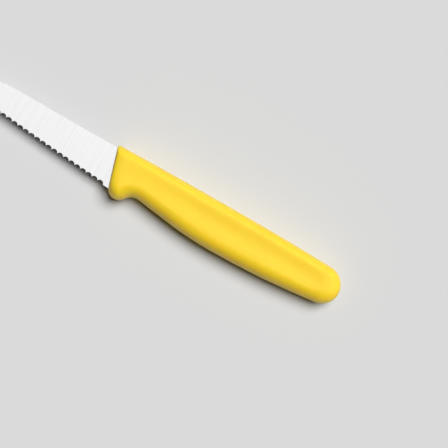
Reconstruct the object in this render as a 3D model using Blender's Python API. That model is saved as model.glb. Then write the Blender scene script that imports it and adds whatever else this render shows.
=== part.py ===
"""A serrated vegetable knife lying on its right side: a ground steel blade and a moulded handle.

Metres, +Z up. Both pieces are modelled on the handle's axis: the front of the handle crosses it
at x = 0, the butt is toward +X, the spine toward +Y, and the middle of the steel is at z = 0.
An empty then lifts the knife onto z = 0 and centres its bounding box on the origin.
"""

import math

import bmesh
import bpy
from mathutils import Matrix, Vector

# Steel plate
STOCK = 0.0012
SEAT_GAP = 0.0003

# Exposed blade
BLADE_LENGTH = 0.0805
SPINE_HEIGHT = 0.00776
HEEL_DEPTH = 0.0088
EDGE_RISE = math.radians(3.3)
EDGE_RADIUS = 1.33
POINT_RADIUS = 0.048
POINT_ROUND = 0.0005

# Flat grinds on both sides of the blade
EDGE_STOCK = 0.0005
GRIND_HEIGHT = 0.015
RICASSO = 0.0012
PLUNGE_ANGLE = math.radians(45)

# Scallops, ground from the right side only
SCALLOP_PITCH = 0.00286
SCALLOP_DEPTH = 0.0013
SCALLOP_SLANT = math.radians(18)
TOOTH_WEAR = 0.00005
HEEL_LAND = 0.0029
POINT_LAND = 0.004

# Tang hidden in the handle
ROOT_DEPTH = 0.0045
TANG_LENGTH = 0.058
TANG_WIDTH = 0.009
TANG_OFFSET = 0.0004
TANG_END_ROUND = 0.003
SHOULDER_ROUND = 0.0014
HOLE_RADIUS = 0.0025
HOLE_COUNT = 2
FIRST_HOLE = 0.022
HOLE_SPACING = 0.023

# Handle, seen from its side
HANDLE_LENGTH = 0.1072
FRONT_LEAN = math.radians(16.8)
FRONT_CORNER_ROUND = 0.0006
BACK_CROWN = 0.00971
BACK_CROWN_AT = 0.059
BACK_FRONT_RADIUS = 3.1
BACK_REAR_RADIUS = 1.3
GUARD_AT = 0.00645
GUARD_DEPTH = 0.0115
GUARD_REAR_RADIUS = 0.005
NECK_RADIUS = 0.0055
GRIP_ANGLE = math.radians(7.6)
BELLY_AT = 0.05
BELLY_DEPTH = 0.01013
BELLY_FRONT_RADIUS = 0.137
BELLY_REAR_RADIUS = 0.385
BUTT_ROUND = 0.0084
BUTT_CENTRE = 0.0006

# Handle, seen from its back
HANDLE_THICKNESS = 0.012
FRONT_THICKNESS = 0.0098
FRONT_TAPER = 0.0048
BUTT_THICKNESS = 0.0108
REAR_TAPER = 0.04

# Rounding from the silhouette up to the flat of the side
FRONT_BAND = 0.0015
BACK_BAND = 0.0034
BELLY_BAND = 0.0058
BUTT_BAND = 0.0058
FRONT_FULLNESS = 3.2
SIDE_FULLNESS = 2.0
LEAST_ROUND = 0.0004

# Scoop along each side
SCOOP_DEPTH = 0.00042
SCOOP_FRONT_DEPTH = 0.00016
SCOOP_CENTRE = 0.00125
SCOOP_WIDTH = 0.0099
SCOOP_START = 0.002
SCOOP_FULL = 0.046
SCOOP_END = 0.0995

# Mesh steps
FRONT_STEPS = 10
GUARD_STEPS = 6
NECK_STEPS = 8
GRIP_STEPS = 3
BELLY_FRONT_STEPS = 4
BELLY_REAR_STEPS = 9
BUTT_STEPS = 5
CORNER_STEPS = 4
BAND_STEPS = 6
SCALLOP_STEPS = 8
POINT_STEPS = 10
ROUND_STEPS = 5
HOLE_STEPS = 24
LEAN_ENDS_AT = 0.027
BUTT_TURN = math.radians(50)

# Cutters
CUTTER_REACH = 0.003
SHARP_ANGLE = math.radians(35)


def clear_scene():
    for old in list(bpy.data.objects):
        bpy.data.objects.remove(old, do_unlink=True)


def material(name, colour, metallic, roughness):
    made = bpy.data.materials.new(name)
    made.use_nodes = True
    shader = made.node_tree.nodes["Principled BSDF"]
    shader.inputs["Base Color"].default_value = (*colour, 1.0)
    shader.inputs["Metallic"].default_value = metallic
    shader.inputs["Roughness"].default_value = roughness
    return made


def make_object(name, bm):
    bmesh.ops.recalc_face_normals(bm, faces=bm.faces[:])
    mesh = bpy.data.meshes.new(name)
    bm.to_mesh(mesh)
    bm.free()
    made = bpy.data.objects.new(name, mesh)
    bpy.context.scene.collection.objects.link(made)
    return made


def cutter(made):
    made.hide_render = True
    made.display_type = "WIRE"
    return made


def cut(target, tool):
    boolean = target.modifiers.new(tool.name, "BOOLEAN")
    boolean.operation = "DIFFERENCE"
    boolean.solver = "EXACT"
    boolean.object = tool


def shade(made):
    made.data.shade_smooth()
    made.data.set_sharp_from_angle(angle=SHARP_ANGLE)


def lerp(a, b, t):
    return a + (b - a) * t


def smooth_step(t):
    t = min(max(t, 0.0), 1.0)
    return t * t * (3 - 2 * t)


def arc(centre, radius, start, end, steps):
    """Points on a circle from one angle to another, both ends included."""
    turns = [lerp(start, end, i / steps) for i in range(steps + 1)]
    return [centre + radius * Vector((math.cos(t), math.sin(t))) for t in turns]


def rounded(corners):
    """An outline from (point, radius) corners, with an arc at each corner that has a radius."""
    outline = []
    for i, (corner, radius) in enumerate(corners):
        if radius <= 0:
            outline.append(corner)
            continue
        before = (corners[i - 1][0] - corner).normalized()
        after = (corners[(i + 1) % len(corners)][0] - corner).normalized()
        half = before.angle(after) / 2
        centre = corner + (before + after).normalized() * (radius / math.sin(half))
        first = corner + before * (radius / math.tan(half)) - centre
        turn = math.copysign(math.pi - 2 * half, after.cross(before))
        for step in range(ROUND_STEPS + 1):
            spin = Matrix.Rotation(turn * step / ROUND_STEPS, 2)
            outline.append(centre + spin @ first)
    return outline


def skin(bm, rings):
    """Quads between rings of vertices that each close on themselves."""
    for low, high in zip(rings, rings[1:]):
        for i in range(len(low)):
            j = (i + 1) % len(low)
            bm.faces.new((low[i], low[j], high[j], high[i]))


def prism(name, bottom, top):
    """A solid between two outlines with as many points each."""
    bm = bmesh.new()
    rings = [[bm.verts.new(point) for point in ring] for ring in (bottom, top)]
    skin(bm, rings)
    bm.faces.new(rings[0])
    bm.faces.new(rings[1])
    return make_object(name, bm)


def plate(name, outline, thickness):
    """An outline extruded to both sides of z = 0."""
    bottom = [point.to_3d() - Vector((0, 0, thickness / 2)) for point in outline]
    top = [point.to_3d() + Vector((0, 0, thickness / 2)) for point in outline]
    return prism(name, bottom, top)


def front_x(y):
    """Where the leaning front of the handle is, at a height above the axis."""
    return -y * math.tan(FRONT_LEAN)


# Blade


def edge_y(x):
    """The cutting edge before its scallops: a shallow curve that rises toward the point."""
    ahead = front_x(-HEEL_DEPTH) - x
    return -HEEL_DEPTH + math.tan(EDGE_RISE) * ahead + ahead**2 / (2 * EDGE_RADIUS)


def point_centre():
    """Centre of the curve that takes the straight spine down to the point."""
    y = SPINE_HEIGHT - POINT_RADIUS
    rise = edge_y(-BLADE_LENGTH) - y
    return Vector((-BLADE_LENGTH + math.sqrt(POINT_RADIUS**2 - rise**2), y))


def tang_corners(grow):
    """Corners of the root and tang from its lower front to its upper front, grown all round."""
    low = TANG_OFFSET - TANG_WIDTH / 2 - grow
    high = TANG_OFFSET + TANG_WIDTH / 2 + grow
    heel = -HEEL_DEPTH - grow
    spine = SPINE_HEIGHT + grow
    end = TANG_LENGTH + grow
    shoulder = ROOT_DEPTH + grow
    return [
        (Vector((front_x(heel) + shoulder, heel)), SHOULDER_ROUND + grow),
        (Vector((front_x(low) + shoulder, low)), SHOULDER_ROUND - grow),
        (Vector((end, low)), TANG_END_ROUND + grow),
        (Vector((end, high)), TANG_END_ROUND + grow),
        (Vector((front_x(high) + shoulder, high)), SHOULDER_ROUND - grow),
        (Vector((front_x(spine) + shoulder, spine)), SHOULDER_ROUND + grow),
    ]


def blade_outline():
    centre = point_centre()
    tip = Vector((-BLADE_LENGTH, edge_y(-BLADE_LENGTH)))
    to_tip = math.atan2(tip.y - centre.y, tip.x - centre.x)
    spine = arc(centre, POINT_RADIUS, math.pi / 2, to_tip, POINT_STEPS)
    heel_x = front_x(-HEEL_DEPTH)
    edge_xs = [lerp(-BLADE_LENGTH, heel_x, i / POINT_STEPS) for i in range(1, POINT_STEPS + 1)]
    corners = tang_corners(0.0)
    corners += [(point, 0.0) for point in spine[:-1]]
    corners.append((tip, POINT_ROUND))
    corners += [(Vector((x, edge_y(x))), 0.0) for x in edge_xs]
    return rounded(corners)


def tang_holes(name, radius, thickness):
    """Round bars where the tang's holes are."""
    bm = bmesh.new()
    for hole in range(HOLE_COUNT):
        place = Matrix.Translation((FIRST_HOLE + hole * HOLE_SPACING, TANG_OFFSET, 0))
        bmesh.ops.create_cone(
            bm, cap_ends=True, segments=HOLE_STEPS, radius1=radius, radius2=radius,
            depth=thickness, matrix=place,
        )
    return make_object(name, bm)


def grind(name, side):
    """What a flat grind takes off one side: a wedge hinged on the edge, stopped at the ricasso."""
    heel = Vector((front_x(-HEEL_DEPTH), -HEEL_DEPTH, 0))
    tip = Vector((-BLADE_LENGTH, edge_y(-BLADE_LENGTH), 0))
    low = -HEEL_DEPTH - CUTTER_REACH
    high = SPINE_HEIGHT + CUTTER_REACH
    bottom = [
        Vector((tip.x - CUTTER_REACH, low, 0)),
        Vector((front_x(low) - RICASSO, low, 0)),
        Vector((front_x(high) - RICASSO, high, 0)),
        Vector((tip.x - CUTTER_REACH, high, 0)),
    ]
    run_out = Vector((CUTTER_REACH / math.tan(PLUNGE_ANGLE), 0, 0))
    up = Vector((0, 0, CUTTER_REACH))
    top = [bottom[0] + up, bottom[1] + up + run_out, bottom[2] + up + run_out, bottom[3] + up]
    slope = math.atan((STOCK - EDGE_STOCK) / 2 / GRIND_HEIGHT)
    hinge = Matrix.Rotation(slope, 4, heel - tip)
    lift = Matrix.Translation((0, 0, EDGE_STOCK / 2))
    place = lift @ Matrix.Translation(heel) @ hinge @ Matrix.Translation(-heel)
    mirror = Matrix.Diagonal((1, 1, side, 1))
    return prism(name, [mirror @ place @ p for p in bottom], [mirror @ place @ p for p in top])


def scallop_profile():
    """The ground edge on the left face, from the heel to past the point."""
    first = front_x(-HEEL_DEPTH) - HEEL_LAND
    count = int((BLADE_LENGTH + first - POINT_LAND) / SCALLOP_PITCH)
    half = SCALLOP_PITCH / 2
    profile = []
    for scallop in range(count):
        middle = first - (scallop + 0.5) * SCALLOP_PITCH
        # The first groove runs out through the plain heel
        start = -2.0 if scallop == 0 else -1.0
        steps = SCALLOP_STEPS if scallop else SCALLOP_STEPS * 3 // 2
        for step in range(steps):
            across = lerp(start, 1.0, step / steps)
            x = middle - across * half
            profile.append(Vector((x, edge_y(x) + TOOTH_WEAR + SCALLOP_DEPTH * (1 - across**2))))
    for x in (first - count * SCALLOP_PITCH, -BLADE_LENGTH - CUTTER_REACH):
        profile.append(Vector((x, edge_y(x) + TOOTH_WEAR)))
    return profile


def scallop_grind():
    """The comb of grooves a formed wheel grinds, slanted so that they open on the right side."""
    profile = scallop_profile()
    outside = -HEEL_DEPTH - 2 * CUTTER_REACH
    outline = profile + [Vector((profile[-1].x, outside)), Vector((profile[0].x, outside))]
    level = Vector((0, 0, EDGE_STOCK / 2))
    chord = Vector((front_x(-HEEL_DEPTH), -HEEL_DEPTH)) - Vector((-BLADE_LENGTH, edge_y(-BLADE_LENGTH)))
    across = Vector((-chord.y, chord.x)).normalized()
    slant = Vector((*(across * math.cos(SCALLOP_SLANT)), -math.sin(SCALLOP_SLANT)))
    before = level - slant * CUTTER_REACH
    after = level + slant * 2 * CUTTER_REACH
    return prism(
        "scallop_grind", [p.to_3d() + before for p in outline], [p.to_3d() + after for p in outline]
    )


def build_blade(steel):
    blade = plate("blade", blade_outline(), STOCK)
    cut(blade, cutter(tang_holes("tang_holes", HOLE_RADIUS, STOCK + CUTTER_REACH)))
    cut(blade, cutter(grind("left_grind", 1)))
    cut(blade, cutter(grind("right_grind", -1)))
    cut(blade, cutter(scallop_grind()))
    blade.data.materials.append(steel)
    return blade


# Handle


def back_y(x):
    """The back of the handle: a slight crown, flatter to the front than to the rear."""
    radius = BACK_FRONT_RADIUS if x < BACK_CROWN_AT else BACK_REAR_RADIUS
    return BACK_CROWN - (x - BACK_CROWN_AT) ** 2 / (2 * radius)


def belly_y(x):
    """The belly behind its lowest point."""
    return -BELLY_DEPTH + (x - BELLY_AT) ** 2 / (2 * BELLY_REAR_RADIUS)


def butt(turn, side, back, belly, end):
    """A point on the rounded butt: turn 0 is where it starts, a right angle is its extreme."""
    start = HANDLE_LENGTH - BUTT_ROUND
    reach = math.sin(turn)
    x = lerp(start, HANDLE_LENGTH - end, reach)
    top = back_y(x) - back
    bottom = belly_y(x) + belly
    middle = lerp((top + bottom) / 2, BUTT_CENTRE, reach**2)
    return Vector((x, middle + side * (top - bottom) / 2 * math.cos(turn)))


def lower_rail(front, belly):
    """From the front face round the guard and the neck and along the belly to the butt."""
    depth = GUARD_DEPTH - belly
    lean_sin = math.sin(FRONT_LEAN)
    lean_cos = math.cos(FRONT_LEAN)
    front_radius = (GUARD_AT * lean_cos - front - depth * lean_sin) / (1 - lean_sin)
    rear_radius = max(GUARD_REAR_RADIUS - belly, LEAST_ROUND)
    front_centre = Vector((GUARD_AT, front_radius - depth))
    rear_centre = Vector((GUARD_AT, rear_radius - depth))
    down = -math.pi / 2

    belly_radius = BELLY_FRONT_RADIUS - belly
    belly_centre = Vector((BELLY_AT, BELLY_FRONT_RADIUS - BELLY_DEPTH))
    belly_arc = arc(belly_centre, belly_radius, down - GRIP_ANGLE, down, BELLY_FRONT_STEPS)

    # The neck touches the guard's round and the straight grip line that leads to the belly
    neck_radius = NECK_RADIUS + belly
    along = Vector((math.cos(GRIP_ANGLE), -math.sin(GRIP_ANGLE)))
    outward = Vector((-math.sin(GRIP_ANGLE), -math.cos(GRIP_ANGLE)))
    to_line = belly_arc[0] + outward * neck_radius - rear_centre
    reach = to_line.dot(along)
    apart = rear_radius + neck_radius
    back_off = reach - math.sqrt(reach**2 - to_line.length_squared + apart**2)
    neck_centre = rear_centre + to_line - along * back_off
    to_neck = neck_centre - rear_centre
    meet = math.atan2(to_neck.y, to_neck.x)

    rail = arc(front_centre, front_radius, FRONT_LEAN - math.pi, down, GUARD_STEPS)
    rail += arc(rear_centre, rear_radius, down, meet, GUARD_STEPS)[1:]
    neck = arc(neck_centre, neck_radius, meet + math.pi, math.pi / 2 - GRIP_ANGLE, NECK_STEPS)
    rail += neck[1:]
    rail += [lerp(neck[-1], belly_arc[0], i / GRIP_STEPS) for i in range(1, GRIP_STEPS + 1)]
    rail += belly_arc[1:]
    rear_start = HANDLE_LENGTH - BUTT_ROUND
    for i in range(1, BELLY_REAR_STEPS + 1):
        x = lerp(BELLY_AT, rear_start, i / BELLY_REAR_STEPS)
        rail.append(Vector((x, belly_y(x) + belly)))
    return rail


def upper_rail(lower, front, back):
    """From the front corner along the back to the butt, with a point for each lower one."""
    corner = Vector((0, back_y(0) - back))
    for _ in range(4):
        corner.x = front / math.cos(FRONT_LEAN) + front_x(corner.y)
        corner.y = back_y(corner.x) - back
    half_angle = (math.pi / 2 - FRONT_LEAN) / 2
    centre = corner + Vector((FRONT_CORNER_ROUND / math.tan(half_angle), -FRONT_CORNER_ROUND))
    rail = arc(centre, FRONT_CORNER_ROUND, math.pi + FRONT_LEAN, math.pi / 2, CORNER_STEPS)
    first = rail[-1].x
    start = lower[CORNER_STEPS].x
    for point in lower[CORNER_STEPS + 1:]:
        if point.x < LEAN_ENDS_AT:
            x = lerp(first, LEAN_ENDS_AT, (point.x - start) / (LEAN_ENDS_AT - start))
        else:
            x = point.x
        rail.append(Vector((x, back_y(x) - back)))
    return rail


def silhouette(front, back, belly, end):
    """The handle's outline moved inwards by a band on each side: lower, butt, upper and front."""
    lower = lower_rail(front, belly)
    upper = upper_rail(lower, front, back)
    for i in range(1, BUTT_STEPS + 1):
        turn = BUTT_TURN * i / BUTT_STEPS
        lower.append(butt(turn, -1, back, belly, end))
        upper.append(butt(turn, 1, back, belly, end))
    rest = math.pi - 2 * BUTT_TURN
    turns = [BUTT_TURN + rest * i / FRONT_STEPS for i in range(1, FRONT_STEPS)]
    butt_row = [butt(turn, -1, back, belly, end) for turn in turns]
    front_row = [lerp(upper[0], lower[0], i / FRONT_STEPS) for i in range(1, FRONT_STEPS)]
    return lower, butt_row, upper, front_row


def half_thickness(x, y):
    ahead = 1 - (x - front_x(y)) * math.cos(FRONT_LEAN) / FRONT_TAPER
    front = (HANDLE_THICKNESS - FRONT_THICKNESS) / 2 * max(ahead, 0.0) ** 2
    behind = (x - HANDLE_LENGTH + REAR_TAPER) / REAR_TAPER
    rear = (HANDLE_THICKNESS - BUTT_THICKNESS) / 2 * max(behind, 0.0) ** 2
    return HANDLE_THICKNESS / 2 - front - rear


def scoop(x, y):
    """How far the long hollow in the side goes in, at one point."""
    half_width = SCOOP_WIDTH / 2
    depth = lerp(SCOOP_FRONT_DEPTH, SCOOP_DEPTH, smooth_step((x - SCOOP_START) / (SCOOP_FULL - SCOOP_START)))
    across = (y - SCOOP_CENTRE) / half_width
    past = max(x - (SCOOP_END - half_width), SCOOP_START + half_width - x, 0.0) / half_width
    return depth * max(1 - across**2 - past**2, 0.0) ** 2


def fullness(row):
    """How square the rounding is: squarer down the front than along the sides."""
    return lerp(FRONT_FULLNESS, SIDE_FULLNESS, smooth_step(row / GUARD_STEPS))


def handle_shell():
    outer = silhouette(0.0, 0.0, 0.0, 0.0)
    inner = silhouette(FRONT_BAND, BACK_BAND, BELLY_BAND, BUTT_BAND)
    last = len(outer[0]) - 1
    rows = list(range(last + 1)) + [last] * (FRONT_STEPS - 1)
    rows += list(range(last, -1, -1)) + [0] * (FRONT_STEPS - 1)
    outer_ring = outer[0] + outer[1] + outer[2][::-1] + outer[3]
    inner_ring = inner[0] + inner[1] + inner[2][::-1] + inner[3]

    bm = bmesh.new()
    rings = []
    for level in range(-BAND_STEPS, BAND_STEPS + 1):
        turn = abs(level) / BAND_STEPS * math.pi / 2
        ring = []
        for low, high, row in zip(outer_ring, inner_ring, rows):
            power = 2 / fullness(row)
            inward = 1 - max(math.cos(turn), 0.0) ** power
            point = lerp(low, high, inward)
            height = math.sin(turn) ** power * half_thickness(*point)
            ring.append(bm.verts.new((point.x, point.y, math.copysign(height, level))))
        rings.append(ring)
    skin(bm, rings)
    for ring, side in ((rings[0], -1), (rings[-1], 1)):
        fill_side(bm, ring, last, side)
    return make_object("handle", bm)


def fill_side(bm, ring, last, side):
    """The flat of one side, with its scoop, as rows from the belly's edge to the back's."""
    butt_row = ring[last + 1: last + FRONT_STEPS]
    upper = ring[last + FRONT_STEPS: 2 * last + FRONT_STEPS + 1][::-1]
    front_row = ring[2 * last + FRONT_STEPS + 1:][::-1]
    rows = [[ring[0], *front_row, upper[0]]]
    for i in range(1, last):
        row = [ring[i]]
        for step in range(1, FRONT_STEPS):
            point = lerp(ring[i].co, upper[i].co, step / FRONT_STEPS)
            height = half_thickness(point.x, point.y) - scoop(point.x, point.y)
            row.append(bm.verts.new((point.x, point.y, side * height)))
        rows.append([*row, upper[i]])
    rows.append([ring[last], *butt_row, upper[last]])
    for low, high in zip(rows, rows[1:]):
        for j in range(FRONT_STEPS):
            bm.faces.new((low[j], low[j + 1], high[j + 1], high[j]))


def tang_cavity():
    """The room the steel takes up in the moulding, less the pegs that key through its holes."""
    corners = tang_corners(SEAT_GAP)
    ahead = ROOT_DEPTH + CUTTER_REACH
    low = corners[0][0] - Vector((ahead, 0))
    high = corners[-1][0] - Vector((ahead, 0))
    cavity = plate("tang_cavity", rounded([(low, 0.0), *corners, (high, 0.0)]), STOCK + 2 * SEAT_GAP)
    pegs = tang_holes("pegs", HOLE_RADIUS - SEAT_GAP, STOCK + CUTTER_REACH)
    cut(cavity, cutter(pegs))
    return cavity


def build_handle(plastic):
    handle = handle_shell()
    cut(handle, cutter(tang_cavity()))
    handle.data.materials.append(plastic)
    return handle


# Assembly


def stand_on_floor(pieces):
    """An empty over all objects that puts the bounding box's bottom centre at the origin."""
    bpy.context.view_layer.update()
    graph = bpy.context.evaluated_depsgraph_get()
    corners = [Vector(c) for piece in pieces for c in piece.evaluated_get(graph).bound_box]
    low = [min(c[axis] for c in corners) for axis in range(3)]
    high = [max(c[axis] for c in corners) for axis in range(3)]
    knife = bpy.data.objects.new("knife", None)
    bpy.context.scene.collection.objects.link(knife)
    for made in bpy.data.objects:
        if made is not knife:
            made.parent = knife
    knife.location = (-(low[0] + high[0]) / 2, -(low[1] + high[1]) / 2, -low[2])


def main():
    clear_scene()
    steel = material("brushed_steel", (0.78, 0.78, 0.79), 1.0, 0.32)
    plastic = material("yellow_plastic", (0.9, 0.61, 0.03), 0.0, 0.4)
    blade = build_blade(steel)
    handle = build_handle(plastic)
    shade(blade)
    shade(handle)
    stand_on_floor([blade, handle])
    bpy.context.view_layer.update()


main()
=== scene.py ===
"""A serrated vegetable knife lying on its right side on a plain pale floor, seen from straight above.

Metres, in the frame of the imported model: the point of the knife is toward -X, the butt toward +X,
the edge toward -Y, the spine toward +Y, and the floor is at z = 0.
"""

import math

import bmesh
import bpy
from mathutils import Matrix, Vector


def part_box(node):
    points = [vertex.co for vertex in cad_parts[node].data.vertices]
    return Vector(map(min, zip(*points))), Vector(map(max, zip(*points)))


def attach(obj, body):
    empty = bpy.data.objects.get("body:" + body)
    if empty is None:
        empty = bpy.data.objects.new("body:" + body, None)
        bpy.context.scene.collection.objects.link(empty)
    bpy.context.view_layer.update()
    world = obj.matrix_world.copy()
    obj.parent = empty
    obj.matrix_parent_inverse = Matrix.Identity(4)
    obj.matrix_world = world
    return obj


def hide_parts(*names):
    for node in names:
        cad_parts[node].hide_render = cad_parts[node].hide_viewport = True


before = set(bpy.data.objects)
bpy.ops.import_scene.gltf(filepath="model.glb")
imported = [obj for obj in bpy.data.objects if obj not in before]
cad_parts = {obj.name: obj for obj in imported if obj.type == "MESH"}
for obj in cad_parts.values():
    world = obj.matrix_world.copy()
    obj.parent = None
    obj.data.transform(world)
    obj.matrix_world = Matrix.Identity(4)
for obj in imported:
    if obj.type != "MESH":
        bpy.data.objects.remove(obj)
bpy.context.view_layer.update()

# Handle, seen from its side, with its length along the axis
HANDLE_LENGTH = 0.1072
FRONT_LEAN = math.radians(16.8)
FRONT_CORNER_ROUND = 0.0006
BACK_CROWN = 0.00971
BACK_CROWN_AT = 0.059
BACK_FRONT_RADIUS = 3.1
BACK_REAR_RADIUS = 1.3
GUARD_AT = 0.00645
GUARD_DEPTH = 0.0115
GUARD_REAR_RADIUS = 0.005
NECK_RADIUS = 0.0055
GRIP_ANGLE = math.radians(7.6)
BELLY_AT = 0.05
BELLY_DEPTH = 0.01013
BELLY_FRONT_RADIUS = 0.137
BELLY_REAR_RADIUS = 0.385
BUTT_ROUND = 0.0084
BUTT_CENTRE = 0.0006

# Handle, seen from its back: what each side loses toward the front face and the butt
FRONT_THINNED = 0.0011
FRONT_TAPER = 0.0048
BUTT_THINNED = 0.0006
REAR_TAPER = 0.04

# Scoop along each side
SCOOP_DEPTH = 0.00042
SCOOP_FRONT_DEPTH = 0.00016
SCOOP_CENTRE = 0.00125
SCOOP_WIDTH = 0.0099
SCOOP_START = 0.002
SCOOP_FULL = 0.046
SCOOP_END = 0.0995

# Traces of the mould: the line where its halves met, and the mark where it was filled
PARTING_WIDTH = 0.00012
PARTING_DEPTH = 0.00004
GATE_RADIUS = 0.0011
GATE_DEPTH = 0.0003
STUB_RADIUS = 0.00055
STUB_HEIGHT = 0.00018

# Rounding of the handle from its parting line up to the flat of its side
HANDLE_THICKNESS = 0.012
FRONT_BAND = 0.0015
BACK_BAND = 0.0034
BELLY_BAND = 0.0058
BUTT_BAND = 0.0058
FRONT_FULLNESS = 3.2
SIDE_FULLNESS = 2.0
LEAST_ROUND = 0.0004
CONTOURS = 8

# Steps along each stretch of a contour of the handle
FRONT_STEPS = 10
CORNER_STEPS = 4
GUARD_STEPS = 6
NECK_STEPS = 8
GRIP_STEPS = 6
BELLY_STEPS = 6
REAR_STEPS = 16
BUTT_STEPS = 11
NECK_ENDS_ABOVE = 0.013
GRIP_ENDS_AT = 0.0319

# How often the place of the front corner is worked out again until it settles
CORNER_PASSES = 4

# Tolerances: for points at one place, for picking a corner, and for closing a seam
TINY = 1e-6
NEAR = 5e-6
CLOSING = 5e-5

# Width of the small plane that a first vertex is made from, and the sharpest turn shaded as round
SEED_SIZE = 0.001
SMOOTH_UP_TO = math.radians(30)

# Steel plate, and the gap that the plastic leaves round it
STOCK = 0.0012
TIGHT = 0.00002

# Exposed blade
BLADE_LENGTH = 0.0805
SPINE_HEIGHT = 0.00776
HEEL_DEPTH = 0.0088
EDGE_RISE = math.radians(3.3)
EDGE_RADIUS = 1.337
POINT_RADIUS = 0.048
POINT_ROUND = 0.00052
SPINE_BREAK = 0.0001
POINT_STEPS = 20

# Least part of a face's normal that makes it a wall of the spine, or a flat
SPINE_FACES = 0.5
FLAT = 0.99

# Flat grinds on both sides of the blade
EDGE_STOCK = 0.0005
GRIND_HEIGHT = 0.015
RICASSO = 0.0003
PLUNGE_ANGLE = math.radians(7)
CUTTER_REACH = 0.003

# Scallops, ground from the right side only
SCALLOP_PITCH = 0.00286
SCALLOP_DEPTH = 0.0013
SCALLOP_SLANT = math.radians(18)
TOOTH_WEAR = 0.00005
HEEL_LAND = 0.0029
POINT_LAND = 0.004
SCALLOP_SIDES = 48

# Tang hidden in the handle
ROOT_DEPTH = 0.0045
TANG_LENGTH = 0.058
TANG_WIDTH = 0.009
TANG_OFFSET = 0.0004
TANG_END_ROUND = 0.003
SHOULDER_ROUND = 0.0014
HOLE_RADIUS = 0.0025
HOLES_AT = (0.022, 0.045)
ROUND_STEPS = 6
HOLE_SIDES = 32

# Where the camera looks, and how much of the floor its picture spans
PICTURE_CENTRE = Vector((0.0377, 0.0033, 0.006))
PICTURE_WIDTH = 0.1859
PICTURE_TURN = math.radians(30)
LENS = 85.0
SENSOR = 36.0

# Yellow plastic: two close yellows in soft clouds, how light spreads inside it, its sheen, the
# patches worn smoother, and the mould's grain
YELLOW_LIGHT = (0.925, 0.655, 0.006, 1)
YELLOW_DEEP = (0.895, 0.625, 0.006, 1)
CLOUDS = 60.0
SHARE_OF_LIGHT_IN = 0.7
DEPTH_OF_LIGHT = 0.003
DEPTH_BY_COLOUR = (1.0, 0.5, 0.05)
PLASTIC_SHEEN = 0.8
PLASTIC_ROUGH = 0.48
WORN_SMOOTH = 0.1
WORN_PATCHES = 260.0
GRAIN = 4200.0
GRAIN_DEPTH = 0.00002

# Ground steel: two close greys in streaks across the blade, and the finer lines of the wheel
STEEL_DARK = (0.655, 0.655, 0.66, 1)
STEEL_BRIGHT = (0.745, 0.745, 0.75, 1)
ALONG_A_LINE = 0.03
LINES = 8000.0
STREAKS = 1100.0
STREAK_DETAIL = 4.0
STEEL_ROUGH = 0.17
LINE_ROUGH = 0.1
LINE_DEPTH = 0.000003

# Floor
FLOOR_SIZE = 20.0
FLOOR_COLOUR = (0.63, 0.632, 0.632, 1)
FLOOR_ROUGH = 0.9
FLOOR_SHEEN = 0.1

# Light: the key, the panel that only gloss mirrors, the sky as matt surfaces get it, as the camera
# sees it, and as gloss mirrors it
KEY_ZENITH = math.radians(27.5)
KEY_AZIMUTH = math.radians(63)
KEY_SPREAD = math.radians(38)
KEY_STRENGTH = 3.88
PANEL_LEFT = -0.45
PANEL_NEAR = -0.2
PANEL_HEIGHT = 0.8
PANEL_SIZE = 2.6
PANEL_RADIANCE = 0.98
SKY = 0.01
BACKDROP = 0.68
MIRRORED = 0.36


# Modelling, in the handle's own place: its front crosses the axis at the origin


def new_piece(name):
    """An empty mesh in edit mode, with its object at the origin."""
    bpy.ops.object.select_all(action="DESELECT")
    bpy.ops.mesh.primitive_plane_add(location=(0, 0, 0))
    made = bpy.context.object
    made.name = name
    bpy.ops.object.mode_set(mode="EDIT")
    bpy.ops.mesh.delete(type="VERT")
    return made


def start_at(point):
    """A single vertex: a small plane merged into one point."""
    bpy.ops.mesh.select_all(action="DESELECT")
    bpy.ops.mesh.primitive_plane_add(size=SEED_SIZE, location=point)
    bpy.ops.mesh.merge(type="CENTER")


def line_by(step, steps=1):
    """Extrudes the selected vertex along a straight line."""
    for _ in range(steps):
        bpy.ops.mesh.extrude_region_move(TRANSFORM_OT_translate={"value": (*(step / steps), 0)})


def arc_about(centre, angle, steps, height):
    """Spins the selected vertex about a centre, anticlockwise seen from above."""
    bpy.ops.mesh.spin(steps=steps, angle=-angle, center=(*centre, height), axis=(0, 0, 1))


def pick(made, wanted, mode="VERT"):
    """Selects, in edit mode, just the vertices at the places that are wanted."""
    bpy.ops.mesh.select_mode(type="VERT")
    bpy.ops.mesh.select_all(action="DESELECT")
    mesh = bmesh.from_edit_mesh(made.data)
    for vertex in mesh.verts:
        if wanted(vertex.co):
            vertex.select = True
    mesh.select_flush(True)
    bmesh.update_edit_mesh(made.data)
    bpy.ops.mesh.select_mode(type=mode)


def apply_modifiers(made):
    bpy.context.view_layer.objects.active = made
    for modifier in list(made.modifiers):
        bpy.ops.object.modifier_apply(modifier=modifier.name)


def back_y(x):
    radius = BACK_FRONT_RADIUS if x < BACK_CROWN_AT else BACK_REAR_RADIUS
    return BACK_CROWN - (x - BACK_CROWN_AT) ** 2 / (2 * radius)


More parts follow.
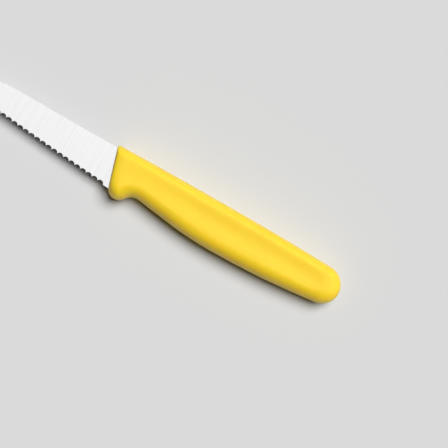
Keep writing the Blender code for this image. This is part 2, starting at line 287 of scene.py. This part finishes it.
def lower_centres(front, belly):
    """Centres and radii of the arcs round the guard, neck and belly, moved inwards by the bands."""
    depth = GUARD_DEPTH - belly
    lean_sin, lean_cos = math.sin(FRONT_LEAN), math.cos(FRONT_LEAN)
    front_radius = (GUARD_AT * lean_cos - front - depth * lean_sin) / (1 - lean_sin)
    rear_radius = max(GUARD_REAR_RADIUS - belly, LEAST_ROUND)
    front_centre = Vector((GUARD_AT, front_radius - depth))
    rear_centre = Vector((GUARD_AT, rear_radius - depth))
    belly_radius = BELLY_FRONT_RADIUS - belly
    belly_centre = Vector((BELLY_AT, BELLY_FRONT_RADIUS - BELLY_DEPTH))
    along = Vector((math.cos(GRIP_ANGLE), -math.sin(GRIP_ANGLE)))
    outward = Vector((-math.sin(GRIP_ANGLE), -math.cos(GRIP_ANGLE)))
    belly_start = belly_centre + outward * belly_radius
    neck_radius = NECK_RADIUS + belly
    to_line = belly_start + outward * neck_radius - rear_centre
    reach = to_line.dot(along)
    apart = rear_radius + neck_radius
    back_off = reach - math.sqrt(reach**2 - to_line.length_squared + apart**2)
    neck_centre = rear_centre + to_line - along * back_off
    return front_centre, front_radius, rear_centre, neck_centre, neck_radius, belly_centre, belly_start


def draw_contour(made, height, front, back, belly, end):
    """The handle's outline at one height, moved inwards by a band on each side."""
    butt_at = HANDLE_LENGTH - BUTT_ROUND
    reach = BUTT_ROUND - end
    rear_radius = BELLY_REAR_RADIUS - belly
    rise = math.asin((butt_at - BELLY_AT) / rear_radius)
    round_up = back_y(butt_at) - back - BUTT_CENTRE
    round_down = BUTT_CENTRE + BELLY_DEPTH - belly - rear_radius * (1 - math.cos(rise))
    quarter = math.pi / 2
    level = lambda co: abs(co.z - height) < TINY

    # The butt is half a circle, stretched above its middle and below it
    start_at((butt_at, BUTT_CENTRE - reach, height))
    arc_about((butt_at, BUTT_CENTRE), math.pi, 2 * BUTT_STEPS, height)
    for above, radius in ((True, round_up), (False, round_down)):
        pick(made, lambda co: level(co) and (co.y > BUTT_CENTRE) == above)
        stretch = (1, radius / reach, 1)
        bpy.ops.transform.resize(value=stretch, center_override=(butt_at, BUTT_CENTRE, height))
    pick(made, lambda co: level(co) and co.y > BUTT_CENTRE + round_up - TINY)

    # Along the back to the front corner
    crown_rear = Vector((BACK_CROWN_AT, BACK_CROWN - BACK_REAR_RADIUS))
    crown_front = Vector((BACK_CROWN_AT, BACK_CROWN - BACK_FRONT_RADIUS))
    front_radius = BACK_FRONT_RADIUS - back
    corner = Vector((0, back_y(0) - back))
    for _ in range(CORNER_PASSES):
        corner.x = front / math.cos(FRONT_LEAN) - corner.y * math.tan(FRONT_LEAN)
        corner.y = back_y(corner.x) - back
    half_angle = (math.pi / 2 - FRONT_LEAN) / 2
    corner_centre = corner + Vector((FRONT_CORNER_ROUND / math.tan(half_angle), -FRONT_CORNER_ROUND))
    stops = [BACK_CROWN_AT, BELLY_AT, GRIP_ENDS_AT, NECK_ENDS_ABOVE, corner_centre.x]
    rear_steps = round(REAR_STEPS * (butt_at - BACK_CROWN_AT) / (butt_at - BELLY_AT))
    rear_turn = math.asin((butt_at - BACK_CROWN_AT) / (BACK_REAR_RADIUS - back))
    arc_about(crown_rear, rear_turn, rear_steps, height)
    steps = (REAR_STEPS - rear_steps, BELLY_STEPS, GRIP_STEPS, 2 * GUARD_STEPS + NECK_STEPS - CORNER_STEPS)
    for before, after, count in zip(stops, stops[1:], steps):
        turn = math.asin((BACK_CROWN_AT - after) / front_radius)
        turn -= math.asin((BACK_CROWN_AT - before) / front_radius)
        arc_about(crown_front, turn, count, height)
    arc_about(corner_centre, quarter + FRONT_LEAN, CORNER_STEPS, height)

    # Down the front, round the guard and the neck
    centres = lower_centres(front, belly)
    front_centre, guard_radius, rear_centre, neck_centre, neck_radius, belly_centre, belly_start = centres
    facing = Vector((-math.cos(FRONT_LEAN), -math.sin(FRONT_LEAN)))
    front_top = corner_centre + facing * FRONT_CORNER_ROUND
    line_by(front_centre + facing * guard_radius - front_top, FRONT_STEPS)
    arc_about(front_centre, quarter - FRONT_LEAN, GUARD_STEPS, height)
    to_neck = neck_centre - rear_centre
    meet = math.atan2(to_neck.y, to_neck.x)
    arc_about(rear_centre, meet + quarter, GUARD_STEPS, height)
    arc_about(neck_centre, quarter - GRIP_ANGLE - meet - math.pi, NECK_STEPS, height)

    # Along the grip and the belly to the butt
    neck_end = neck_centre + neck_radius * Vector((math.sin(GRIP_ANGLE), math.cos(GRIP_ANGLE)))
    line_by(belly_start - neck_end, GRIP_STEPS)
    arc_about(belly_centre, GRIP_ANGLE, BELLY_STEPS, height)
    arc_about((BELLY_AT, rear_radius - BELLY_DEPTH + belly), rise, REAR_STEPS, height)
    pick(made, level)
    bpy.ops.mesh.remove_doubles(threshold=CLOSING)


def build_handle():
    """Half of the moulding from contours up to its flat side, mirrored across the parting line."""
    made = new_piece("handle_moulding")
    heights = []
    for level in range(CONTOURS + 1):
        rise = math.sin(math.pi / 2 * level / CONTOURS) ** (2 / SIDE_FULLNESS)
        side = 1 - max(1 - rise**SIDE_FULLNESS, 0.0) ** (1 / SIDE_FULLNESS)
        front = 1 - max(1 - rise**FRONT_FULLNESS, 0.0) ** (1 / FRONT_FULLNESS)
        heights.append(rise * HANDLE_THICKNESS / 2)
        bands = (FRONT_BAND * front, BACK_BAND * side, BELLY_BAND * side, BUTT_BAND * side)
        draw_contour(made, heights[-1], *bands)
    for low, high in zip(heights, heights[1:]):
        pick(made, lambda co: low - TINY < co.z < high + TINY, "EDGE")
        bpy.ops.mesh.bridge_edge_loops()

    # The flat side is bridged from its lower edge to its upper one, and its round end is filled
    on_top = lambda co: co.z > heights[-1] - TINY
    end_turn = math.pi / 2 * (1 - FRONT_STEPS / (2 * BUTT_STEPS))
    end_at = HANDLE_LENGTH - BUTT_ROUND + math.sin(end_turn) * (BUTT_ROUND - BUTT_BAND)
    facing = Vector((-math.cos(FRONT_LEAN), -math.sin(FRONT_LEAN), 0))
    mesh = bmesh.from_edit_mesh(made.data)
    rim = [v.co.copy() for v in mesh.verts if on_top(v.co)]
    nearest = max(co.dot(facing) for co in rim) - TINY
    front_row = sorted((co for co in rim if co.dot(facing) > nearest), key=lambda co: co.y)
    inside_row = front_row[1:-1]
    pick(made, lambda co: on_top(co) and co.x < end_at + TINY and co not in inside_row, "EDGE")
    bpy.ops.mesh.bridge_edge_loops(number_cuts=FRONT_STEPS - 1, interpolation="LINEAR")
    pick(made, on_top)
    bpy.ops.mesh.remove_doubles(threshold=CLOSING)
    pick(made, lambda co: on_top(co) and co.x > end_at - TINY, "EDGE")
    bpy.ops.mesh.fill_grid()
    bpy.ops.mesh.select_all(action="SELECT")
    bpy.ops.mesh.normals_make_consistent(inside=False)
    bpy.ops.object.mode_set(mode="OBJECT")
    mirror = made.modifiers.new("other_half", "MIRROR")
    mirror.use_axis = (False, False, True)
    mirror.merge_threshold = TINY
    smooth(made)
    thin_ends(made)
    hollow_sides(made)
    smooth(made)
    score_parting_line(made)
    cut_cavity(made)
    mark_gate(made)
    return made


def smooth(made):
    rounder = made.modifiers.new("rounder", "SUBSURF")
    rounder.levels = rounder.render_levels = 1
    apply_modifiers(made)


def smooth_step(t):
    t = min(max(t, 0.0), 1.0)
    return t * t * (3 - 2 * t)


def push_painted(made, weight_at, strength, direction):
    """Moves the surface where a weight is painted on it."""
    painted = made.vertex_groups.new(name="painted")
    for vertex in made.data.vertices:
        weight = weight_at(*vertex.co)
        if weight > 0:
            painted.add([vertex.index], weight, "REPLACE")
    push = made.modifiers.new("push", "DISPLACE")
    push.vertex_group = painted.name
    push.direction = direction
    push.strength = strength
    push.mid_level = 0
    apply_modifiers(made)
    made.vertex_groups.clear()


def thin_ends(made):
    """Takes both sides in toward the front face and the butt."""
    for side in (1, -1):
        def thinned(x, y, z):
            ahead = 1 - (x - front_x(y)) * math.cos(FRONT_LEAN) / FRONT_TAPER
            behind = (x - HANDLE_LENGTH + REAR_TAPER) / REAR_TAPER
            loss = max(ahead, 0.0) ** 2 + BUTT_THINNED / FRONT_THINNED * max(behind, 0.0) ** 2
            return loss * side * z / (HANDLE_THICKNESS / 2)

        push_painted(made, thinned, -side * FRONT_THINNED, "Z")


def hollow_sides(made):
    """The long hollow that is scooped out of each side."""
    half_width = SCOOP_WIDTH / 2

    def hollow(x, y, z):
        deepening = smooth_step((x - SCOOP_START) / (SCOOP_FULL - SCOOP_START))
        depth = SCOOP_FRONT_DEPTH + (SCOOP_DEPTH - SCOOP_FRONT_DEPTH) * deepening
        across = (y - SCOOP_CENTRE) / half_width
        past = max(x - (SCOOP_END - half_width), SCOOP_START + half_width - x, 0.0) / half_width
        return depth / SCOOP_DEPTH * max(1 - across**2 - past**2, 0.0) ** 2

    push_painted(made, hollow, -SCOOP_DEPTH, "NORMAL")


def score_parting_line(made):
    """A hair line round the handle where the halves of the mould met."""
    bpy.ops.object.mode_set(mode="EDIT")
    middle = lambda co: abs(co.z) < TINY
    pick(made, middle, "EDGE")
    bpy.ops.mesh.bevel(offset=PARTING_WIDTH / 2, segments=2, affect="EDGES")
    pick(made, middle)
    bpy.ops.transform.shrink_fatten(value=-PARTING_DEPTH)
    bpy.ops.object.mode_set(mode="OBJECT")


def corner_angle(corners, i):
    corner = corners[i][0]
    before = corners[i - 1][0] - corner
    return before.angle(corners[(i + 1) % len(corners)][0] - corner)


def draw_plate(name, corners, thickness):
    """A flat plate from (point, radius) corners, rounded where a corner has a radius."""
    made = new_piece(name)
    bottom = -thickness / 2
    start_at((*corners[0][0], bottom))
    for (before, _), (after, _) in zip(corners, corners[1:]):
        line_by(after - before)
    pick(made, lambda co: True)
    bpy.ops.mesh.edge_face_add()
    for i, (corner, radius) in enumerate(corners):
        if radius <= 0:
            continue
        offset = radius / math.tan(corner_angle(corners, i) / 2)
        pick(made, lambda co: (co.xy - corner).length < TINY)
        bpy.ops.mesh.bevel(affect="VERTICES", offset=offset, segments=ROUND_STEPS)
    pick(made, lambda co: True)
    bpy.ops.mesh.extrude_region_move(TRANSFORM_OT_translate={"value": (0, 0, thickness)})
    pick(made, lambda co: True)
    bpy.ops.mesh.normals_make_consistent(inside=False)
    bpy.ops.object.mode_set(mode="OBJECT")
    return made


def cut(made, tool, operation="DIFFERENCE"):
    boolean = made.modifiers.new("cut", "BOOLEAN")
    boolean.operation = operation
    boolean.solver = "EXACT"
    boolean.object = tool
    apply_modifiers(made)
    bpy.data.objects.remove(tool)


def bar(place, axis, radius, length, sides):
    """A round bar with its middle at a place, along an axis."""
    bpy.ops.object.select_all(action="DESELECT")
    turn = Vector(axis).to_track_quat("Z", "Y").to_euler()
    bpy.ops.mesh.primitive_cylinder_add(
        vertices=sides, radius=radius, depth=length, location=place, rotation=turn
    )
    bpy.ops.object.transform_apply()
    return bpy.context.object


def front_x(y):
    return -y * math.tan(FRONT_LEAN)


def tang_corners(grow):
    """Corners of the root and tang from its lower front to its upper front, grown all round."""
    low = TANG_OFFSET - TANG_WIDTH / 2 - grow
    high = TANG_OFFSET + TANG_WIDTH / 2 + grow
    heel = -HEEL_DEPTH - grow
    spine = SPINE_HEIGHT + grow
    end = TANG_LENGTH + grow
    shoulder = ROOT_DEPTH + grow
    return [
        (Vector((front_x(heel) + shoulder, heel)), SHOULDER_ROUND + grow),
        (Vector((front_x(low) + shoulder, low)), SHOULDER_ROUND - grow),
        (Vector((end, low)), TANG_END_ROUND + grow),
        (Vector((end, high)), TANG_END_ROUND + grow),
        (Vector((front_x(high) + shoulder, high)), SHOULDER_ROUND - grow),
        (Vector((front_x(spine) + shoulder, spine)), SHOULDER_ROUND + grow),
    ]


def cut_cavity(made):
    """The place of the root and tang in the moulding, crossed by the pegs through their holes."""
    corners = tang_corners(TIGHT)
    ahead = Vector((ROOT_DEPTH + CUTTER_REACH, 0))
    corners = [(corners[0][0] - ahead, 0.0), *corners, (corners[-1][0] - ahead, 0.0)]
    cavity = draw_plate("cavity", corners, STOCK + 2 * TIGHT)
    for x in HOLES_AT:
        cut(cavity, bar((x, TANG_OFFSET, 0), (0, 0, 1), HOLE_RADIUS - TIGHT, 2 * STOCK, HOLE_SIDES))
    cut(made, cavity)


def mark_gate(made):
    """A small sunk ring in the butt, with the stub of the sprue broken off inside it."""
    butt_end = Vector((HANDLE_LENGTH, BUTT_CENTRE, 0))
    cut(made, bar(butt_end, (1, 0, 0), GATE_RADIUS, 2 * GATE_DEPTH, HOLE_SIDES))
    stub_at = butt_end - Vector((GATE_DEPTH, 0, 0))
    cut(made, bar(stub_at, (1, 0, 0), STUB_RADIUS, 2 * STUB_HEIGHT, HOLE_SIDES), "UNION")


# Blade


def point_of_blade():
    """The tip, and the centre of the curve that takes the spine down to it."""
    heel = Vector((front_x(-HEEL_DEPTH), -HEEL_DEPTH))
    edge_centre = heel + EDGE_RADIUS * Vector((math.sin(EDGE_RISE), math.cos(EDGE_RISE)))
    ahead = -BLADE_LENGTH - edge_centre.x
    tip = Vector((-BLADE_LENGTH, edge_centre.y - math.sqrt(EDGE_RADIUS**2 - ahead**2)))
    spine_centre_y = SPINE_HEIGHT - POINT_RADIUS
    rise = tip.y - spine_centre_y
    spine_centre = Vector((tip.x + math.sqrt(POINT_RADIUS**2 - rise**2), spine_centre_y))
    return heel, edge_centre, tip, spine_centre


def round_centre(one, one_radius, other, other_radius):
    """Where circles about two centres cross, on the side of the point."""
    apart = other - one
    along = (apart.length_squared + one_radius**2 - other_radius**2) / (2 * apart.length)
    across = math.sqrt(one_radius**2 - along**2)
    return one + (apart * along + Vector((-apart.y, apart.x)) * across) / apart.length


def heading(centre, point):
    return math.atan2(point.y - centre.y, point.x - centre.x) % (2 * math.pi)


def draw_blade():
    """The stamped blank: its blade, root and tang in one outline, extruded to its thickness."""
    heel, edge_centre, _, spine_centre = point_of_blade()
    tip_centre = round_centre(
        spine_centre, POINT_RADIUS - POINT_ROUND, edge_centre, EDGE_RADIUS - POINT_ROUND
    )
    corners = tang_corners(0.0)
    made = new_piece("blade_steel")
    bottom = -STOCK / 2
    start_at((*corners[0][0], bottom))
    for (before, _), (after, _) in zip(corners, corners[1:]):
        line_by(after - before)
    line_by(Vector((spine_centre.x, SPINE_HEIGHT)) - corners[-1][0])
    fall = heading(spine_centre, tip_centre)
    rise = heading(edge_centre, tip_centre)
    arc_about(spine_centre, fall - math.pi / 2, POINT_STEPS, bottom)
    arc_about(tip_centre, rise - fall, ROUND_STEPS, bottom)
    arc_about(edge_centre, heading(edge_centre, heel) - rise, POINT_STEPS, bottom)
    pick(made, lambda co: True)
    bpy.ops.mesh.remove_doubles(threshold=CLOSING)
    bpy.ops.mesh.edge_face_add()
    rounds = [(corner, radius, corner_angle(corners, i)) for i, (corner, radius) in enumerate(corners)]
    rounds[0] = (*corners[0], math.pi / 2 - FRONT_LEAN)
    rounds[-1] = (*corners[-1], math.pi / 2 + FRONT_LEAN)
    for corner, radius, angle in rounds:
        pick(made, lambda co: (co.xy - corner).length < NEAR)
        bpy.ops.mesh.bevel(affect="VERTICES", offset=radius / math.tan(angle / 2), segments=ROUND_STEPS)
    pick(made, lambda co: True)
    bpy.ops.mesh.extrude_region_move(TRANSFORM_OT_translate={"value": (0, 0, STOCK)})
    pick(made, lambda co: True)
    bpy.ops.mesh.normals_make_consistent(inside=False)
    bpy.ops.object.mode_set(mode="OBJECT")
    return made


def grind(side):
    """What a flat grind takes off one side: a wedge hinged on the edge, stopped at the ricasso."""
    heel, _, tip, _ = point_of_blade()
    low = -HEEL_DEPTH - CUTTER_REACH
    high = SPINE_HEIGHT + CUTTER_REACH
    corners = [
        Vector((tip.x - CUTTER_REACH, low)), Vector((front_x(low) - RICASSO, low)),
        Vector((front_x(high) - RICASSO, high)), Vector((tip.x - CUTTER_REACH, high)),
    ]
    tool = draw_plate("grind", [(corner, 0.0) for corner in corners], 2 * CUTTER_REACH)
    bpy.ops.object.mode_set(mode="EDIT")
    pick(tool, lambda co: co.z < 0)
    bpy.ops.transform.translate(value=(0, 0, CUTTER_REACH))
    pick(tool, lambda co: co.z > CUTTER_REACH / 2 and co.x > 0)
    bpy.ops.transform.translate(value=(CUTTER_REACH / math.tan(PLUNGE_ANGLE), 0, 0))
    bpy.ops.object.mode_set(mode="OBJECT")
    slope = math.atan((STOCK - EDGE_STOCK) / 2 / GRIND_HEIGHT)
    hinge = Matrix.Rotation(slope, 4, (heel - tip).to_3d())
    at = Matrix.Translation(heel.to_3d())
    lift = Matrix.Translation((0, 0, EDGE_STOCK / 2))
    tool.matrix_world = Matrix.Diagonal((1, 1, side, 1)) @ lift @ at @ hinge @ at.inverted()
    bpy.ops.object.transform_apply()
    if side < 0:
        tool.data.flip_normals()
    return tool


def edge_y(x):
    _, edge_centre, _, _ = point_of_blade()
    return edge_centre.y - math.sqrt(EDGE_RADIUS**2 - (x - edge_centre.x) ** 2)


def scallops():
    """Round grooves side by side along the edge, slanted so that they open on the right side."""
    heel, _, tip, _ = point_of_blade()
    across = (tip - heel).orthogonal().normalized()
    across *= math.copysign(1, across.y)
    slant = Vector((*(across * math.cos(SCALLOP_SLANT)), -math.sin(SCALLOP_SLANT)))
    before = Vector((0, 0, EDGE_STOCK / 2)) - slant * CUTTER_REACH
    first = heel.x - HEEL_LAND
    count = int((BLADE_LENGTH + first - POINT_LAND) / SCALLOP_PITCH)
    half = SCALLOP_PITCH / 2
    radius = (half**2 + SCALLOP_DEPTH**2) / (2 * SCALLOP_DEPTH)

    # One groove's cutter is a circle extruded along the slant
    bpy.ops.object.select_all(action="DESELECT")
    bpy.ops.mesh.primitive_circle_add(vertices=SCALLOP_SIDES, radius=radius, fill_type="NGON")
    cutters = [bpy.context.object]
    slide_out(cutters[0], slant)
    while len(cutters) < count:
        copy = cutters[0].copy()
        copy.data = cutters[0].data.copy()
        bpy.context.scene.collection.objects.link(copy)
        cutters.append(copy)
    for number, cutter in enumerate(cutters):
        x = first - (number + 0.5) * SCALLOP_PITCH
        cutter.location = Vector((x, edge_y(x) + TOOTH_WEAR + SCALLOP_DEPTH - radius, 0)) + before

    # The teeth end on one line, which runs on as a plain edge to the point
    land = new_piece("land")
    outside = -HEEL_DEPTH - CUTTER_REACH
    start_at((first, outside, 0))
    line_by(Vector((0, edge_y(first) + TOOTH_WEAR - outside)))
    last = -BLADE_LENGTH - CUTTER_REACH
    for number in range(POINT_STEPS):
        x, onward = (first + (last - first) * (number + i) / POINT_STEPS for i in (0, 1))
        line_by(Vector((onward - x, edge_y(onward) - edge_y(x))))
    line_by(Vector((0, outside - edge_y(last) - TOOTH_WEAR)))
    pick(land, lambda co: True)
    bpy.ops.mesh.edge_face_add()
    bpy.ops.object.mode_set(mode="OBJECT")
    slide_out(land, slant)
    land.location = before
    return [*cutters, land]


def slide_out(made, slant):
    """Extrudes a flat shape into an oblique cutter, along the way that the wheel ran."""
    bpy.ops.object.mode_set(mode="EDIT")
    bpy.ops.mesh.select_all(action="SELECT")
    reach = slant * 3 * CUTTER_REACH
    bpy.ops.mesh.extrude_region_move(TRANSFORM_OT_translate={"value": reach})
    bpy.ops.mesh.select_all(action="SELECT")
    bpy.ops.mesh.normals_make_consistent(inside=False)
    bpy.ops.object.mode_set(mode="OBJECT")


def break_spine(made):
    """Takes the sharpness off the two long edges of the spine."""
    bpy.ops.object.mode_set(mode="EDIT")
    bpy.ops.mesh.select_mode(type="EDGE")
    bpy.ops.mesh.select_all(action="DESELECT")
    mesh = bmesh.from_edit_mesh(made.data)
    for edge in mesh.edges:
        flat, wall = sorted(edge.link_faces, key=lambda face: abs(face.normal.z), reverse=True)
        if abs(flat.normal.z) > FLAT and wall.normal.y > SPINE_FACES and edge.verts[0].co.x < 0:
            edge.select = True
    bmesh.update_edit_mesh(made.data)
    bpy.ops.mesh.bevel(offset=SPINE_BREAK, segments=2, affect="EDGES")
    bpy.ops.object.mode_set(mode="OBJECT")


def build_blade():
    made = draw_blade()
    for x in HOLES_AT:
        cut(made, bar((x, TANG_OFFSET, 0), (0, 0, 1), HOLE_RADIUS, 2 * STOCK, HOLE_SIDES))
    cut(made, grind(1))
    cut(made, grind(-1))
    for groove in scallops():
        cut(made, groove)
    break_spine(made)
    return made


def keep_flats_flat(made):
    """Marks the edges of the flat and ground faces sharp, so that none of them is shaded as round."""
    mesh = bmesh.new()
    mesh.from_mesh(made.data)
    for edge in mesh.edges:
        if max(abs(face.normal.z) for face in edge.link_faces) > FLAT:
            edge.smooth = False
    mesh.to_mesh(made.data)
    mesh.free()


# Shader maths


class Wire:
    """A socket of a node tree. Sums on wires add Math nodes."""

    def __init__(self, wiring, socket):
        self.wiring = wiring
        self.socket = socket

    def sum(self, operation, *values):
        return self.wiring.node("ShaderNodeMath", {"operation": operation}, dict(enumerate(values)))

    def __add__(self, other):
        return self.sum("ADD", self, other)

    __radd__ = __add__

    def __mul__(self, other):
        return self.sum("MULTIPLY", self, other)

    __rmul__ = __mul__

    def __rsub__(self, other):
        return self.sum("SUBTRACT", other, self)


class Wiring:
    """Adds nodes to a node tree."""

    def __init__(self, tree):
        self.tree = tree

    def node(self, kind, settings, sockets, output=0):
        made = self.tree.nodes.new(kind)
        for name, value in settings.items():
            setattr(made, name, value)
        for key, value in sockets.items():
            self.plug(made.inputs[key], value)
        return Wire(self, made.outputs[output])

    def plug(self, socket, value):
        if isinstance(value, Wire):
            self.tree.links.new(value.socket, socket)
        else:
            socket.default_value = value


class Finish(Wiring):
    """A material, built on one Principled shader."""

    def __init__(self, name, **plain):
        self.material = bpy.data.materials.new(name)
        self.material.use_nodes = True
        super().__init__(self.material.node_tree)
        self.shader = self.tree.nodes["Principled BSDF"]
        for socket, value in plain.items():
            self.shader.inputs[socket.replace("_", " ")].default_value = value

    def place(self, scale=(1, 1, 1)):
        """Object coordinates, stretched for one pattern."""
        coordinates = self.node("ShaderNodeTexCoord", {}, {}, "Object")
        return self.node("ShaderNodeMapping", {}, {"Vector": coordinates, "Scale": scale})

    def noise(self, place, scale, detail=2.0):
        return self.node("ShaderNodeTexNoise", {}, {"Vector": place, "Scale": scale, "Detail": detail})

    def mix(self, factor, a, b):
        return self.node("ShaderNodeMix", {"data_type": "RGBA"}, {0: factor, 6: a, 7: b}, 2)

    def bump(self, height, distance):
        return self.node("ShaderNodeBump", {}, {"Height": height, "Distance": distance}, "Normal")

    def set(self, socket, value):
        self.plug(self.shader.inputs[socket], value)


def yellow_plastic():
    """Solid dyed plastic with the fine grain of its mould, a little glossier where the mould is worn."""
    finish = Finish(
        "yellow_plastic", Subsurface_Weight=SHARE_OF_LIGHT_IN, Subsurface_Scale=DEPTH_OF_LIGHT,
        Subsurface_Radius=DEPTH_BY_COLOUR, Specular_IOR_Level=PLASTIC_SHEEN,
    )
    even = finish.place()
    finish.set("Base Color", finish.mix(finish.noise(even, CLOUDS), YELLOW_LIGHT, YELLOW_DEEP))
    finish.set("Roughness", PLASTIC_ROUGH - WORN_SMOOTH * finish.noise(even, WORN_PATCHES))
    finish.set("Normal", finish.bump(finish.noise(even, GRAIN), GRAIN_DEPTH))
    return finish.material


def ground_steel():
    """Steel ground across the blade: fine lines from the edge to the spine, with broader streaks."""
    finish = Finish("ground_steel", Metallic=1.0)
    across = finish.place(scale=(1, ALONG_A_LINE, ALONG_A_LINE))
    lines = finish.noise(across, LINES)
    streaks = finish.noise(across, STREAKS, STREAK_DETAIL)
    finish.set("Base Color", finish.mix(streaks, STEEL_DARK, STEEL_BRIGHT))
    finish.set("Roughness", STEEL_ROUGH + LINE_ROUGH * lines)
    finish.set("Normal", finish.bump(lines + streaks, LINE_DEPTH))
    return finish.material


def floor_finish():
    finish = Finish("floor", Roughness=FLOOR_ROUGH, Specular_IOR_Level=FLOOR_SHEEN)
    finish.set("Base Color", FLOOR_COLOUR)
    return finish.material


# Stage


def build_floor():
    bpy.ops.mesh.primitive_plane_add(size=FLOOR_SIZE)
    floor = bpy.context.object
    floor.name = "floor"
    floor.data.materials.append(floor_finish())


def add_lamp(name, kind):
    """A lamp that the camera never sees."""
    lamp = bpy.data.objects.new(name, bpy.data.lights.new(name, kind))
    lamp.visible_camera = False
    bpy.context.scene.collection.objects.link(lamp)
    return lamp


def build_lights():
    """A soft key for matt surfaces, a wide panel that only shines in reflections, and the sky."""
    key = add_lamp("key", "SUN")
    key.data.energy = KEY_STRENGTH
    key.data.angle = KEY_SPREAD
    key.rotation_euler = (0, KEY_ZENITH, KEY_AZIMUTH)
    key.visible_glossy = False

    panel = add_lamp("panel", "AREA")
    panel.data.size = PANEL_SIZE
    panel.data.energy = PANEL_RADIANCE * math.pi * PANEL_SIZE**2
    panel.location = (PANEL_LEFT + PANEL_SIZE / 2, PANEL_NEAR + PANEL_SIZE / 2, PANEL_HEIGHT)
    panel.visible_diffuse = False

    world = bpy.data.worlds.new("studio")
    bpy.context.scene.world = world
    world.use_nodes = True
    sky = Wiring(world.node_tree)
    seen = sky.node("ShaderNodeLightPath", {}, {}, "Is Camera Ray")
    mirrored = sky.node("ShaderNodeLightPath", {}, {}, "Is Glossy Ray")
    background = world.node_tree.nodes["Background"]
    background.inputs["Color"].default_value = (1, 1, 1, 1)
    sky.plug(background.inputs["Strength"], SKY + seen * (BACKDROP - SKY) + mirrored * (MIRRORED - SKY))


def build_camera():
    camera = bpy.data.cameras.new("camera")
    camera.lens = LENS
    camera.sensor_width = SENSOR
    made = bpy.data.objects.new("camera", camera)
    bpy.context.scene.collection.objects.link(made)
    distance = PICTURE_WIDTH * LENS / SENSOR
    made.location = PICTURE_CENTRE + Vector((0, 0, distance))
    made.rotation_euler = (0, 0, PICTURE_TURN)
    bpy.context.scene.camera = made


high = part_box("handle")[1]
AXIS_AT = high - Vector((HANDLE_LENGTH, BACK_CROWN, HANDLE_THICKNESS / 2))
for piece, finish, node, slot in (
    (build_handle(), yellow_plastic(), "handle", "yellow_plastic"),
    (build_blade(), ground_steel(), "blade", "steel"),
):
    piece.data.transform(Matrix.Translation(AXIS_AT))
    piece.data.materials.clear()
    piece.data.materials.append(finish)
    bpy.ops.object.select_all(action="DESELECT")
    piece.select_set(True)
    bpy.context.view_layer.objects.active = piece
    bpy.ops.object.shade_smooth_by_angle(angle=SMOOTH_UP_TO)
    if slot == "steel":
        keep_flats_flat(piece)
    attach(piece, "root")
    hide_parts(node)

build_camera()
build_floor()
build_lights()
bpy.context.scene.view_settings.view_transform = "Standard"
